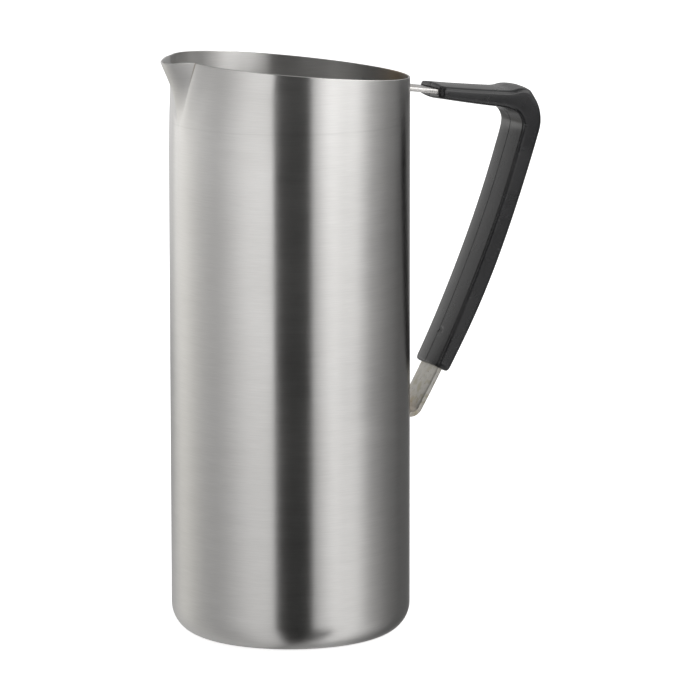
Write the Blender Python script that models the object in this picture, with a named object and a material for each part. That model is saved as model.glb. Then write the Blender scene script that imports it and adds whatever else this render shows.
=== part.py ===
"""A stainless steel water pitcher: a drawn vessel with a pulled spout, and a strap with a two-part grip."""

import math

import bmesh
import bpy
from mathutils import Vector

# Vessel: a straight drawn cylinder, cut at a slant so that the spout side stands higher
BODY_RADIUS = 0.0525
RIM_HEIGHT = 0.2505
RIM_SLANT = 6.06
WALL = 0.0008
CORNER_RADIUS = 0.0128
RIM_EDGE = 0.0002

# Spout: a V pulled out of the rim
SPOUT_DEPTH = 0.0285
SPOUT_REACH = 0.0072
SPOUT_HALF_ANGLE = 16.9
SPOUT_NARROWING_SHARE = 0.82
SPOUT_NOSE_SHARE = 0.03
SPOUT_FULLNESS = 0.69
LIP_DROOP = 0.0024
LIP_SAG = 0.00048
CREASE_DIP = 0.00035

# Beside the spout the wall is drawn in and the rim dips: how far, from where to where, and how deep
DRAW_IN = 0.00085
DRAW_RISE_ANGLE = 12.2
DRAW_IN_ANGLE = 46.3
DRAW_DEPTH_SHARE = 1.6
RIM_DIP = 0.0007
RIM_DIP_ANGLE = 87.0

# Handle strap: one bent flat bar from the rim to the lower wall
STRAP_WIDTH = 0.018
STRAP_THICKNESS = 0.0020
STRAP_EDGE = 0.0003
UPPER_JOINT_DROP = 0.0066664
LOWER_JOINT_Z = 0.0933
ARM_DROP = 8.0
HANDLE_REACH = 0.1154
BEND_RADIUS = 0.010
LEG_BOW = 14.0
FOOT_OUT = 0.0034
FOOT_BEND_RADIUS = 0.0048

# Grip: two moulded halves that close round the strap
GRIP_WIDTH = 0.024
GRIP_OUTER = 0.0048
GRIP_INNER = 0.0050
GRIP_CROWN = 0.0009
GRIP_CORNER = 0.0021
GRIP_INNER_CORNER = 0.0019
GRIP_END_CORNER = 0.0025
GRIP_RIM_END_EDGE = 0.0017
GRIP_FOOT_END_EDGE = 0.0007
GRIP_FROM_RIM = 0.0150
GRIP_FROM_FOOT = 0.0268
PEG_RADIUS = 0.0008
PEG_LENGTH = 0.0030

# Welds and fits
WELD_LEG = 0.0010
FIT_GAP = 0.0003

# Where the spout's flare stands at each share of its depth, as a share of its reach
FLARE_SHARES = ((0.0, 1.0), (0.05, 0.92), (0.12, 0.81), (0.19, 0.695), (0.26, 0.583), (0.33, 0.47),
                (0.38, 0.40), (0.44, 0.34), (0.54, 0.257), (0.66, 0.17), (0.8, 0.077), (1.0, 0.0))
# Rows down the spout, then below its foot to where the wall is straight, as shares of the spout's depth
ROW_SHARES = tuple(row for row, _ in FLARE_SHARES) + (1.28, 1.62)
# Columns across half of the spout, from nose to crease
FLANK_SHARES = (0.0, 0.07, 0.16, 0.32, 0.55, 0.8, 1.0)
# Columns beyond the crease that crowd where the wall is drawn in, as shares of the half turn left
SIDE_SHARES = (0.013, 0.032, 0.057, 0.088, 0.122)
SIDE_COLUMNS = 29
CORNER_STEPS = 7
BASE_RING_SHARES = (0.55,)

# Points across the strap's flat faces, so that its ends follow the round wall
WIDTH_SHARES = (0.6, 0.2, -0.2, -0.6)

# How far the grip's outer face stands off the strap along it, as a share of its thickness on the leg
OUTER_SHARES = ((0.0, 0.71), (0.035, 0.73), (0.07, 0.75), (0.14, 0.83), (0.19, 0.9), (0.2, 0.93),
                (0.21, 0.995), (0.218, 1.09), (0.227, 1.25), (0.236, 1.38), (0.245, 1.405),
                (0.254, 1.24), (0.265, 1.13), (0.28, 1.03), (0.3, 0.96), (0.33, 0.96), (0.4, 0.94),
                (0.5, 0.94), (0.6, 0.97), (0.7, 1.0), (0.8, 0.99), (0.88, 0.94), (0.95, 0.87),
                (1.0, 0.83))
# The same for the inner face, on the side of the fingers
INNER_SHARES = ((0.0, 0.67), (0.035, 0.72), (0.07, 0.78), (0.14, 0.87), (0.18, 0.9), (0.2, 0.945),
                (0.218, 1.09), (0.232, 1.185), (0.25, 1.25), (0.27, 1.28), (0.29, 1.265),
                (0.307, 1.215), (0.321, 1.15), (0.335, 1.075), (0.352, 1.045), (0.4, 1.04), (0.5, 1.0),
                (0.6, 0.975), (0.7, 0.95), (0.8, 0.91), (0.88, 0.86), (0.95, 0.82), (1.0, 0.79))
# Cross sections along the grip between its two rounded ends
STATION_SHARES = (0.055, 0.09, 0.135, 0.175, 0.2, 0.213, 0.223, 0.231, 0.238, 0.245, 0.252, 0.26, 0.27,
                  0.282, 0.295, 0.309, 0.323, 0.338, 0.36, 0.42, 0.49, 0.56, 0.63, 0.7, 0.77, 0.83, 0.88,
                  0.92, 0.955)
END_TURNS = (0.0, 22.0, 45.0, 68.0, 90.0)
CROWN_STEPS = 4
CORNER_TURNS = 4
# Most of the grip's height that its long roundings take, and of its end wall that an end rounding takes
CORNER_MOST_SHARE = 0.48
END_MOST_SHARE = 0.85
# Locating pegs: place along the grip, and whether each sits outside or inside the strap
PEG_SHARES = ((0.12, -1), (0.262, 1), (0.5, -1), (0.8, 1))
PEG_SIDES = 12

# How far the bead's face bulges from its hollow corner, as a share of its leg
WELD_BULGE_SHARE = 0.55

# Turns sharper than these are shaded as edges, and take the eased rim
SHARP_ANGLE = 35.0
RIM_ANGLE = 60.0

STEEL = ("brushed_steel", (0.60, 0.595, 0.58, 1.0), 1.0, 0.32)
STRAP_STEEL = ("strap_steel", (0.58, 0.56, 0.52, 1.0), 1.0, 0.36)
WELD_STEEL = ("weld_steel", (0.26, 0.19, 0.13, 1.0), 1.0, 0.45)
BLACK_PLASTIC = ("black_plastic", (0.012, 0.012, 0.0125, 1.0), 0.0, 0.36)


def material(name, colour, metallic, roughness):
    made = bpy.data.materials.new(name)
    made.use_nodes = True
    shader = made.node_tree.nodes["Principled BSDF"]
    shader.inputs["Base Color"].default_value = colour
    shader.inputs["Metallic"].default_value = metallic
    shader.inputs["Roughness"].default_value = roughness
    made.diffuse_color = colour
    return made


def smooth_between(table, share):
    """Reads a table of shares with a smooth curve through its points."""
    last = len(table) - 1
    step = 0
    while step < last - 1 and share > table[step + 1][0]:
        step += 1
    x0, y0 = table[step]
    x1, y1 = table[step + 1]
    before = table[max(step - 1, 0)]
    after = table[min(step + 2, last)]
    slope0 = (y1 - before[1]) / (x1 - before[0])
    slope1 = (after[1] - y0) / (after[0] - x0)
    span = x1 - x0
    u = (share - x0) / span
    return (
        y0 * (2 * u**3 - 3 * u**2 + 1)
        + slope0 * span * (u**3 - 2 * u**2 + u)
        + y1 * (3 * u**2 - 2 * u**3)
        + slope1 * span * (u**3 - u**2)
    )


def fade(share):
    """One at the start, zero at the end, level at both."""
    held = min(max(share, 0.0), 1.0)
    return 0.5 + 0.5 * math.cos(math.pi * held)


def bridge(mesh, rings):
    """Joins each ring of vertices to the next with a band of faces."""
    for near, far in zip(rings, rings[1:]):
        for i in range(len(near)):
            j = (i + 1) % len(near)
            mesh.faces.new((near[i], near[j], far[j], far[i]))


def loft(mesh, rings, ends_closed=True):
    """Places rings of points, bridges each to the next, and caps the first and the last."""
    made = [[mesh.verts.new(point) for point in ring] for ring in rings]
    bridge(mesh, made)
    if ends_closed:
        mesh.faces.new(list(reversed(made[0])))
        mesh.faces.new(made[-1])
    return made


def finish(mesh, name, look, at, parent):
    """Turns a worked mesh into a named object whose own origin stands at the given point."""
    bmesh.ops.recalc_face_normals(mesh, faces=mesh.faces)
    bmesh.ops.translate(mesh, verts=mesh.verts, vec=-at)
    data = bpy.data.meshes.new(name)
    mesh.to_mesh(data)
    mesh.free()
    data.shade_smooth()
    data.set_sharp_from_angle(angle=math.radians(SHARP_ANGLE))
    if look:
        data.materials.append(look)
    made = bpy.data.objects.new(name, data)
    made.location = at
    made.parent = parent
    bpy.context.scene.collection.objects.link(made)
    return made


# Vessel


def rim_height(x):
    """The slanted cut through the cylinder, highest at the spout, which points to -X."""
    return RIM_HEIGHT - x * math.tan(math.radians(RIM_SLANT))


def draw_fade(share):
    """How much of the drawing-in is left at a share of the spout's depth."""
    return fade(share / DRAW_DEPTH_SHARE)


def draw_rise(past):
    """How far the drawing-in has risen at an angle past the crease."""
    return 1.0 - fade(past / math.radians(DRAW_RISE_ANGLE))


def crease_angle(share):
    """Half of the spout's opening angle, which narrows down its depth."""
    held = min(share, 1.0)
    return math.radians(SPOUT_HALF_ANGLE) * (1.0 - SPOUT_NARROWING_SHARE * held)


def flare(share):
    return SPOUT_REACH * smooth_between(FLARE_SHARES, share) if share < 1.0 else 0.0


def flank_point(side, across, share):
    """A point on the spout: the nose is rounded, and each flank runs to its crease."""
    crease = crease_angle(share)
    crease_x = BODY_RADIUS * math.cos(crease)
    nose_x = BODY_RADIUS + flare(share)
    nose = SPOUT_NOSE_SHARE
    run = (math.hypot(across, nose) - nose) / (math.hypot(1.0, nose) - nose)
    fullness = SPOUT_FULLNESS * (1.0 - min(share, 1.0)) ** 2
    x = -(nose_x + (crease_x - nose_x) * run ** (1.0 + fullness))
    y = side * BODY_RADIUS * math.sin(crease) * across
    droop = (LIP_DROOP * fade(across) + LIP_SAG * math.sin(math.pi * across) ** 2) * fade(share)
    dip = CREASE_DIP * (1.0 - fade(across)) * draw_fade(share)
    return Vector((x, y, rim_height(x) - droop - dip - SPOUT_DEPTH * share))


def side_point(side, turn, share):
    """A point on the wall beyond the crease, drawn in a little beside the spout."""
    crease = crease_angle(share)
    angle = crease + (math.pi - crease) * turn
    past = angle - crease
    rise = draw_rise(past)
    beyond = (past - math.radians(DRAW_RISE_ANGLE)) / math.radians(DRAW_IN_ANGLE - DRAW_RISE_ANGLE)
    radius = BODY_RADIUS - DRAW_IN * draw_fade(share) * rise * fade(beyond)
    x = -radius * math.cos(angle)
    y = side * radius * math.sin(angle)
    dip = CREASE_DIP + (RIM_DIP - CREASE_DIP) * rise
    dip *= draw_fade(share) * fade(past / math.radians(RIM_DIP_ANGLE))
    return Vector((x, y, rim_height(x) - dip - SPOUT_DEPTH * share))


def side_turns():
    start = SIDE_SHARES[-1]
    even = tuple(start + (1.0 - start) * (i + 1) / SIDE_COLUMNS for i in range(SIDE_COLUMNS))
    return SIDE_SHARES + even


def vessel_ring(share):
    """One row of the wall, all the way round, starting at the spout's nose."""
    turns = side_turns()
    half = [flank_point(1, across, share) for across in FLANK_SHARES]
    half += [side_point(1, turn, share) for turn in turns]
    other = [side_point(-1, turn, share) for turn in reversed(turns[:-1])]
    other += [flank_point(-1, across, share) for across in reversed(FLANK_SHARES[1:])]
    return half + other


def make_vessel(parent):
    mesh = bmesh.new()
    rings = [vessel_ring(share) for share in ROW_SHARES]
    angles = [math.atan2(point.y, point.x) for point in rings[-1]]
    flat = BODY_RADIUS - CORNER_RADIUS
    for i in range(CORNER_STEPS + 1):
        turn = 0.5 * math.pi * i / CORNER_STEPS
        radius = flat + CORNER_RADIUS * math.cos(turn)
        height = CORNER_RADIUS * (1.0 - math.sin(turn))
        rings.append([Vector((radius * math.cos(a), radius * math.sin(a), height)) for a in angles])
    for share in BASE_RING_SHARES:
        radius = flat * share
        rings.append([Vector((radius * math.cos(a), radius * math.sin(a), 0.0)) for a in angles])
    made = loft(mesh, rings, ends_closed=False)
    centre = mesh.verts.new(Vector((0.0, 0.0, 0.0)))
    last = made[-1]
    for i, vert in enumerate(last):
        mesh.faces.new((vert, last[(i + 1) % len(last)], centre))
    vessel = finish(mesh, "vessel", material(*STEEL), Vector((0.0, 0.0, 0.0)), parent)
    if vessel.data.polygons[-1].normal.z > 0.0:
        vessel.data.flip_normals()
    shell = vessel.modifiers.new("wall", "SOLIDIFY")
    shell.thickness = WALL
    shell.offset = -1.0
    shell.use_even_offset = True
    shell.use_rim = True
    edge = vessel.modifiers.new("rim_edge", "BEVEL")
    edge.width = RIM_EDGE
    edge.segments = 1
    edge.limit_method = "ANGLE"
    edge.angle_limit = math.radians(RIM_ANGLE)
    return vessel


# The arm is welded on at a fixed drop below the rim
UPPER_JOINT_Z = rim_height(BODY_RADIUS) - UPPER_JOINT_DROP


# Handle path, in the plane of the handle: distance from the vessel's axis, height, and heading


def advance(point, radius, start, end):
    """Follows a right-hand arc from one heading to the next."""
    along = radius * (math.sin(start) - math.sin(end))
    up = radius * (math.cos(end) - math.cos(start))
    return (point[0] + along, point[1] + up)


def handle_path():
    """Start, heading, length and radius of the arm, its bend, the bowed leg, the foot bend and the stub."""
    drop = math.radians(ARM_DROP)
    corner = (HANDLE_REACH, UPPER_JOINT_Z - (HANDLE_REACH - BODY_RADIUS) * math.tan(drop))
    foot = (BODY_RADIUS + FOOT_OUT, LOWER_JOINT_Z)
    lean = math.atan2(corner[0] - foot[0], corner[1] - foot[1])
    bow = 0.5 * math.radians(LEG_BOW)
    headings = (-drop, -0.5 * math.pi - lean + bow, -0.5 * math.pi - lean - bow, -math.pi)
    tangent = BEND_RADIUS * math.tan(0.5 * (headings[0] - headings[1]))
    arm = (HANDLE_REACH - BODY_RADIUS) / math.cos(drop) - tangent
    arm_end = (BODY_RADIUS + arm * math.cos(drop), UPPER_JOINT_Z - arm * math.sin(drop))
    leg_start = advance(arm_end, BEND_RADIUS, headings[0], headings[1])
    unit = advance((0.0, 0.0), 1.0, headings[1], headings[2])
    foot_turn = advance((0.0, 0.0), FOOT_BEND_RADIUS, headings[2], headings[3])
    leg_radius = (LOWER_JOINT_Z - foot_turn[1] - leg_start[1]) / unit[1]
    leg_end = advance(leg_start, leg_radius, headings[1], headings[2])
    stub_start = advance(leg_end, FOOT_BEND_RADIUS, headings[2], headings[3])
    return (
        ((BODY_RADIUS, UPPER_JOINT_Z), headings[0], arm, None),
        (arm_end, headings[0], BEND_RADIUS * (headings[0] - headings[1]), BEND_RADIUS),
        (leg_start, headings[1], leg_radius * (headings[1] - headings[2]), leg_radius),
        (leg_end, headings[2], FOOT_BEND_RADIUS * (headings[2] - headings[3]), FOOT_BEND_RADIUS),
        (stub_start, headings[3], stub_start[0] - BODY_RADIUS, None),
    )


PATH = handle_path()
PATH_LENGTH = sum(piece[2] for piece in PATH)


def path_at(distance):
    """Point and heading of the strap's middle line at a distance from the upper wall joint."""
    left = distance
    for point, heading, length, radius in PATH:
        if left <= length or radius is None and point is PATH[-1][0]:
            break
        left -= length
    if radius is None:
        return (point[0] + left * math.cos(heading), point[1] + left * math.sin(heading)), heading
    turned = heading - left / radius
    return advance(point, radius, heading, turned), turned


def place(distance, out, across, along=0.0):
    """A point beside the strap's middle line: outwards from it, across it, and further along it."""
    point, heading = path_at(distance)
    x = point[0] - out * math.sin(heading) + along * math.cos(heading)
    z = point[1] + out * math.cos(heading) + along * math.sin(heading)
    return Vector((x, across, z))


def to_wall(point, heading, stand_off):
    """Slides a point along the strap until it stands off the vessel's round wall by the given gap."""
    x = math.sqrt((BODY_RADIUS + stand_off) ** 2 - point.y**2)
    slid = x - point.x
    return Vector((x, point.y, point.z + slid * math.tan(heading)))


def strap_outline(grow):
    """The flat bar's section with eased edges, grown by a clearance: pairs of out and across."""
    half_out = 0.5 * STRAP_THICKNESS + grow
    half_across = 0.5 * STRAP_WIDTH + grow
    ease = STRAP_EDGE + grow
    points = []
    for side_out, side_across, first in ((1, 1, 0.0), (1, -1, 90.0), (-1, -1, 180.0), (-1, 1, 270.0)):
        for step in (0.0, 45.0, 90.0):
            turn = math.radians(first + step)
            out = side_out * (half_out - ease) + ease * math.sin(turn)
            across = side_across * (half_across - ease) + ease * math.cos(turn)
            points.append((out, across))
        if side_out == side_across:
            reach = side_across * (half_across - ease)
            for share in WIDTH_SHARES:
                points.append((side_out * half_out, reach * share))
    return points


def strap_stations():
    """Distances along the strap: a few on the straights, more round each bend."""
    steps = (2, 12, 12, 7, 1)
    stations = [0.0]
    start = 0.0
    for piece, count in zip(PATH, steps):
        stations += [start + piece[2] * (i + 1) / count for i in range(count)]
        start += piece[2]
    return stations


def close_across(mesh, ring):
    """Caps an end in strips through the thickness, so that the cap keeps the end's curve."""
    last = len(ring) - 1
    for i in range(len(ring) // 2 - 1):
        mesh.faces.new((ring[i], ring[i + 1], ring[last - i - 1], ring[last - i]))


def make_strap(parent):
    mesh = bmesh.new()
    outline = strap_outline(0.0)
    rings = []
    for distance in strap_stations():
        rings.append([place(distance, out, across) for out, across in outline])
    rings[0] = [to_wall(point, PATH[0][1], FIT_GAP) for point in rings[0]]
    rings[-1] = [to_wall(point, 0.0, FIT_GAP) for point in rings[-1]]
    made = loft(mesh, rings, ends_closed=False)
    close_across(mesh, made[0])
    close_across(mesh, made[-1])
    joint = Vector((BODY_RADIUS, 0.0, UPPER_JOINT_Z))
    return finish(mesh, "handle_strap", material(*STRAP_STEEL), joint, parent)


def make_weld(name, distance, heading, along, parent, look):
    """A fillet bead round the strap's end, in the corner between the strap and the wall."""
    mesh = bmesh.new()
    inner = strap_outline(FIT_GAP)
    outer = strap_outline(FIT_GAP + WELD_LEG)
    bulge = FIT_GAP + WELD_BULGE_SHARE * WELD_LEG
    middle = strap_outline(bulge)
    foot_ring = [to_wall(place(distance, *point), heading, FIT_GAP) for point in inner]
    wall_ring = [to_wall(place(distance, *point), heading, FIT_GAP) for point in outer]
    bulge_ring = [to_wall(place(distance, *point), heading, bulge) for point in middle]
    strap_ring = [to_wall(place(distance, *point), heading, FIT_GAP + WELD_LEG) for point in inner]
    rings = [foot_ring, wall_ring, bulge_ring, strap_ring, foot_ring]
    made = [[mesh.verts.new(point) for point in ring] for ring in rings[:-1]]
    bridge(mesh, made + made[:1])
    joint = Vector((BODY_RADIUS, 0.0, along))
    return finish(mesh, name, look, joint, parent)


# Grip


GRIP_LENGTH = PATH_LENGTH - GRIP_FROM_RIM - GRIP_FROM_FOOT


def crown_drop(across, half):
    """How far the crowned face has fallen away at a distance from the seam."""
    return GRIP_CROWN * (across / half) ** 2


def grip_half_section(share, side, pull_side, pull_face):
    """Half of the grip's section, open towards the strap: pairs of out and across."""
    outer = GRIP_OUTER * smooth_between(OUTER_SHARES, share) - pull_face
    inner = GRIP_INNER * smooth_between(INNER_SHARES, share) - pull_face
    half = 0.5 * GRIP_WIDTH - pull_side
    seam = 0.5 * FIT_GAP
    channel_out = 0.5 * STRAP_THICKNESS + FIT_GAP
    channel_across = 0.5 * STRAP_WIDTH + FIT_GAP
    beside = half - channel_across - GRIP_CROWN - channel_out
    most = CORNER_MOST_SHARE * (outer + inner - 2.0 * GRIP_CROWN)
    corner = min(GRIP_CORNER, most, beside + outer)
    points = []
    flat = half - corner
    drop = crown_drop(flat, half)
    for i in range(CROWN_STEPS + 1):
        across = seam + (flat - seam) * i / CROWN_STEPS
        points.append((outer - crown_drop(across, half), across))
    for i in range(1, CORNER_TURNS + 1):
        turn = math.radians(90.0 * i / CORNER_TURNS)
        points.append((outer - drop - corner * (1.0 - math.cos(turn)), flat + corner * math.sin(turn)))
    corner = min(GRIP_INNER_CORNER, most, beside + inner)
    flat = half - corner
    drop = crown_drop(flat, half)
    for i in range(CORNER_TURNS):
        turn = math.radians(90.0 * i / CORNER_TURNS)
        points.append((-inner + drop + corner * (1.0 - math.sin(turn)), flat + corner * math.cos(turn)))
    for i in range(CROWN_STEPS + 1):
        across = flat + (seam - flat) * i / CROWN_STEPS
        points.append((crown_drop(across, half) - inner, across))
    points += [(-channel_out, seam), (-channel_out, channel_across)]
    points += [(channel_out, channel_across), (channel_out, seam)]
    return [(out, side * across) for out, across in points]


def grip_rings(side):
    """Sections from the rim end to the foot end, drawn in round each end."""
    rings = []
    for turn in END_TURNS:
        rings.append(grip_ring(GRIP_END_CORNER * (1.0 - math.cos(math.radians(turn))), turn, side))
    for share in STATION_SHARES:
        rings.append(grip_ring(GRIP_LENGTH * share, 90.0, side))
    for turn in reversed(END_TURNS):
        back = GRIP_END_CORNER * (1.0 - math.cos(math.radians(turn)))
        rings.append(grip_ring(GRIP_LENGTH - back, turn, side))
    return rings


def end_edge(asked, end):
    """The rounding of the grip's first or last end, held inside the thinner wall there."""
    face = min(GRIP_OUTER * OUTER_SHARES[end][1], GRIP_INNER * INNER_SHARES[end][1])
    wall = face - GRIP_CROWN - 0.5 * STRAP_THICKNESS - FIT_GAP
    return min(asked, END_MOST_SHARE * wall)


def grip_ring(distance, turn, side):
    """One section of a half, drawn in where it stands close to an end."""
    pull_side = GRIP_END_CORNER * (1.0 - math.sin(math.radians(turn)))
    from_end = min(distance, GRIP_LENGTH - distance)
    near_rim = distance < 0.5 * GRIP_LENGTH
    edge = end_edge(GRIP_RIM_END_EDGE, 0) if near_rim else end_edge(GRIP_FOOT_END_EDGE, -1)
    short = max(edge - from_end, 0.0)
    pull_face = edge - math.sqrt(edge**2 - short**2)
    section = grip_half_section(distance / GRIP_LENGTH, side, pull_side, pull_face)
    return [place(GRIP_FROM_RIM + distance, out, across) for out, across in section]


def peg_place(share, way):
    """Middle of the solid wall outside or inside the strap, at the seam."""
    channel = 0.5 * STRAP_THICKNESS + FIT_GAP
    table, size = (OUTER_SHARES, GRIP_OUTER) if way > 0 else (INNER_SHARES, GRIP_INNER)
    face = size * smooth_between(table, share)
    return place(GRIP_FROM_RIM + GRIP_LENGTH * share, way * 0.5 * (channel + face), 0.0)


def pins(name, radius, low, high, at, parent):
    """Round pins across the seam, as one hidden tool object."""
    mesh = bmesh.new()
    for share, way in PEG_SHARES:
        middle = peg_place(share, way)
        rings = []
        for y in (low, high):
            ring = []
            for i in range(PEG_SIDES):
                turn = 2.0 * math.pi * i / PEG_SIDES
                ring.append(middle + Vector((radius * math.cos(turn), y, radius * math.sin(turn))))
            rings.append(ring)
        loft(mesh, rings)
    made = finish(mesh, name, None, at, parent)
    made.hide_render = True
    made.display_type = "WIRE"
    return made


def make_grip_half(name, side, look, parent):
    mesh = bmesh.new()
    loft(mesh, grip_rings(side))
    point, _ = path_at(PATH[0][2] + 0.5 * PATH[1][2])
    return finish(mesh, name, look, Vector((point[0], 0.0, point[1])), parent)


def join_or_cut(target, tool, operation):
    made = target.modifiers.new(tool.name, "BOOLEAN")
    made.object = tool
    made.operation = operation
    made.solver = "EXACT"


def make_grip(parent):
    """The halves meet on the middle plane: pegs on one half enter sockets in the other."""
    look = material(*BLACK_PLASTIC)
    left = make_grip_half("grip_half_left", -1, look, parent)
    right = make_grip_half("grip_half_right", 1, look, parent)
    at = left.location.copy()
    seam = 0.5 * FIT_GAP
    rooted = seam + PEG_LENGTH
    pegs = pins("grip_pegs", PEG_RADIUS, -rooted, PEG_LENGTH, at, parent)
    sockets = pins("grip_sockets", PEG_RADIUS + FIT_GAP, -seam, PEG_LENGTH + FIT_GAP, at, parent)
    join_or_cut(left, pegs, "UNION")
    join_or_cut(right, sockets, "DIFFERENCE")
    return left, right


def main():
    for old in list(bpy.data.objects):
        bpy.data.objects.remove(old, do_unlink=True)
    pitcher = bpy.data.objects.new("pitcher", None)
    bpy.context.scene.collection.objects.link(pitcher)
    make_vessel(pitcher)
    make_strap(pitcher)
    weld = material(*WELD_STEEL)
    make_weld("upper_weld", 0.0, PATH[0][1], UPPER_JOINT_Z, pitcher, weld)
    make_weld("lower_weld", PATH_LENGTH, 0.0, LOWER_JOINT_Z, pitcher, weld)
    make_grip(pitcher)


main()
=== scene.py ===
"""A brushed steel water pitcher with a moulded grip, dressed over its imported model."""

import math
from typing import NamedTuple

import bmesh
import bpy
from bpy.props import FloatProperty, FloatVectorProperty, IntProperty, PointerProperty
from mathutils import Euler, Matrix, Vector, noise


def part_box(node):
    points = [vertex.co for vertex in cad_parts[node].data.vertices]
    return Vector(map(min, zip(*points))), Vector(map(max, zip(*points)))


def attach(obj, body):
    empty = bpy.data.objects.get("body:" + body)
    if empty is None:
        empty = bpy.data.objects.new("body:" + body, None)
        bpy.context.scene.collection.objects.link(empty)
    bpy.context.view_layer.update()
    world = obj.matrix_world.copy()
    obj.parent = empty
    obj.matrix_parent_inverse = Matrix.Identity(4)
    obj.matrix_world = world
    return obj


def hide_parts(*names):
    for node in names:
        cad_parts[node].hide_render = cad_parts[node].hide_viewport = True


bl_info = {
    "name": "Steel Water Pitcher",
    "version": (1, 0, 0),
    "blender": (4, 5, 0),
    "location": "3D View > Sidebar > Pitcher",
    "description": "Builds the visible pieces of a steel water pitcher and the studio round it",
    "category": "Object",
}

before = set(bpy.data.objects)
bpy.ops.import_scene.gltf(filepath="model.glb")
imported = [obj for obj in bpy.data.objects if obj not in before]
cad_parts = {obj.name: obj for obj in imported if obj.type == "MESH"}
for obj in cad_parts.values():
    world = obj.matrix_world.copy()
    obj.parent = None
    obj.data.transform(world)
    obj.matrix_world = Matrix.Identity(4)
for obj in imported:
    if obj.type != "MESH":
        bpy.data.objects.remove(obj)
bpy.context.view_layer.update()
VESSEL_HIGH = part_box("vessel")[1]
GRIP_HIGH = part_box("grip_half_right")[1]

# Where the spout's flare stands at each share of its depth, as a share of its reach
FLARE_SHARES = (
    (0.0, 1.0), (0.05, 0.92), (0.12, 0.81), (0.19, 0.695), (0.26, 0.583), (0.33, 0.47), (0.38, 0.40),
    (0.44, 0.34), (0.54, 0.257), (0.66, 0.17), (0.8, 0.077), (1.0, 0.0),
)
# Thickness of the grip outside and inside the strap, along its length
OUTER_SHARES = (
    (0.0, 0.71), (0.035, 0.73), (0.07, 0.75), (0.14, 0.83), (0.19, 0.9), (0.2, 0.93), (0.21, 0.995),
    (0.218, 1.09), (0.227, 1.25), (0.236, 1.38), (0.245, 1.405), (0.254, 1.24), (0.265, 1.13),
    (0.28, 1.03), (0.3, 0.96), (0.33, 0.96), (0.4, 0.94), (0.5, 0.94), (0.6, 0.97), (0.7, 1.0),
    (0.8, 0.99), (0.88, 0.94), (0.95, 0.87), (1.0, 0.83),
)
INNER_SHARES = (
    (0.0, 0.67), (0.035, 0.72), (0.07, 0.78), (0.14, 0.87), (0.18, 0.9), (0.2, 0.945), (0.218, 1.09),
    (0.232, 1.185), (0.25, 1.25), (0.27, 1.28), (0.29, 1.265), (0.307, 1.215), (0.321, 1.15),
    (0.335, 1.075), (0.352, 1.045), (0.4, 1.04), (0.5, 1.0), (0.6, 0.975), (0.7, 0.95), (0.8, 0.91),
    (0.88, 0.86), (0.95, 0.82), (1.0, 0.79),
)

# Rows along the arm, its bend, the bowed leg, the foot bend and the stub
STRAP_ROWS = (6, 24, 40, 18, 3)
# Grip's stretch with the closest rows, as shares of its length
GRIP_BEND = (0.17, 0.36)

# The camera that was fitted to the photo: place in metres, turn in degrees, lens in millimetres
CAMERA_PLACE = (-0.96465, -2.21854, 0.55592)
CAMERA_TURN = (79.8955, 0.0507, -24.1303)
CAMERA_LENS = 288.617

PLAIN_LIGHT = (1.0, 0.995, 0.99)
WARM_LIGHT = (1.0, 0.97, 0.86)


class Glow(NamedTuple):
    """Light on a screen: its direction and spread in degrees, and its level from the skirt up."""

    centre: float
    reach: float
    edge: float
    skirt: float
    foot: float
    # Each rise: the height of its middle, half of its height, and the level above it
    rises: tuple = ()
    tint: tuple = PLAIN_LIGHT


def even_light(skirt, foot, *rises):
    """The same light all the way round a card."""
    return (Glow(centre=0, reach=180, edge=1, skirt=skirt, foot=foot, rises=rises),)


LEFT_GLOWS = (
    Glow(
        centre=-86, reach=84, edge=10, skirt=0.46, foot=0.48,
        rises=((-0.1, 0.06, 0.24), (0.06, 0.05, 0.75), (0.16, 0.04, 1.05), (0.27, 0.04, 0.04)),
    ),
    Glow(
        centre=-71, reach=69, edge=8, skirt=0.0, foot=0.0,
        rises=((0.06, 0.05, 0.45), (0.16, 0.04, 0.65), (0.27, 0.04, 0.0)),
    ),
    Glow(
        centre=-20, reach=34, edge=20, skirt=0.40, foot=0.12,
        rises=((0.06, 0.05, 0.9), (0.16, 0.04, 1.75), (0.27, 0.04, 0.12), (0.5, 0.05, 0.55)),
    ),
    Glow(
        centre=-118, reach=20, edge=20, skirt=0.12, foot=0.2, tint=WARM_LIGHT,
        rises=((-0.1, 0.05, 0.45), (0.06, 0.05, 0.27), (0.25, 0.05, 0.0)),
    ),
    Glow(
        centre=-144, reach=30, edge=14, skirt=0.1, foot=0.1,
        rises=((-0.1, 0.05, 0.12), (0.08, 0.05, 0.0), (0.31, 0.05, 0.88), (0.48, 0.05, 0.45)),
    ),
)
RIGHT_GLOWS = (
    Glow(
        centre=30, reach=14, edge=12, skirt=0.10, foot=0.50,
        rises=((-0.1, 0.05, 1.05), (0.06, 0.05, 0.3), (0.24, 0.04, 2.4), (0.45, 0.04, 0.0)),
    ),
    Glow(
        centre=53, reach=19, edge=16, skirt=0.80, foot=0.78,
        rises=((0.06, 0.05, 0.17), (0.24, 0.04, 3.35), (0.45, 0.04, 0.1)),
    ),
    Glow(
        centre=76, reach=18, edge=16, skirt=0.72, foot=0.36,
        rises=((-0.1, 0.05, 0.1), (0.24, 0.04, 0.45), (0.45, 0.04, 2.75)),
    ),
    Glow(
        centre=104, reach=22, edge=14, skirt=0.36, foot=0.20,
        rises=((0.06, 0.05, 0.08), (0.24, 0.04, 0.7), (0.45, 0.04, 1.05)),
    ),
)


# Settings


def length(name, default, description):
    """A size in metres that the user can change."""
    return FloatProperty(
        name=name, description=description, default=default, min=0.0, unit="LENGTH", precision=5
    )


def angle(name, degrees, description):
    """An angle that the user can change, given here in degrees."""
    return FloatProperty(
        name=name, description=description, default=math.radians(degrees), subtype="ANGLE"
    )


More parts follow.
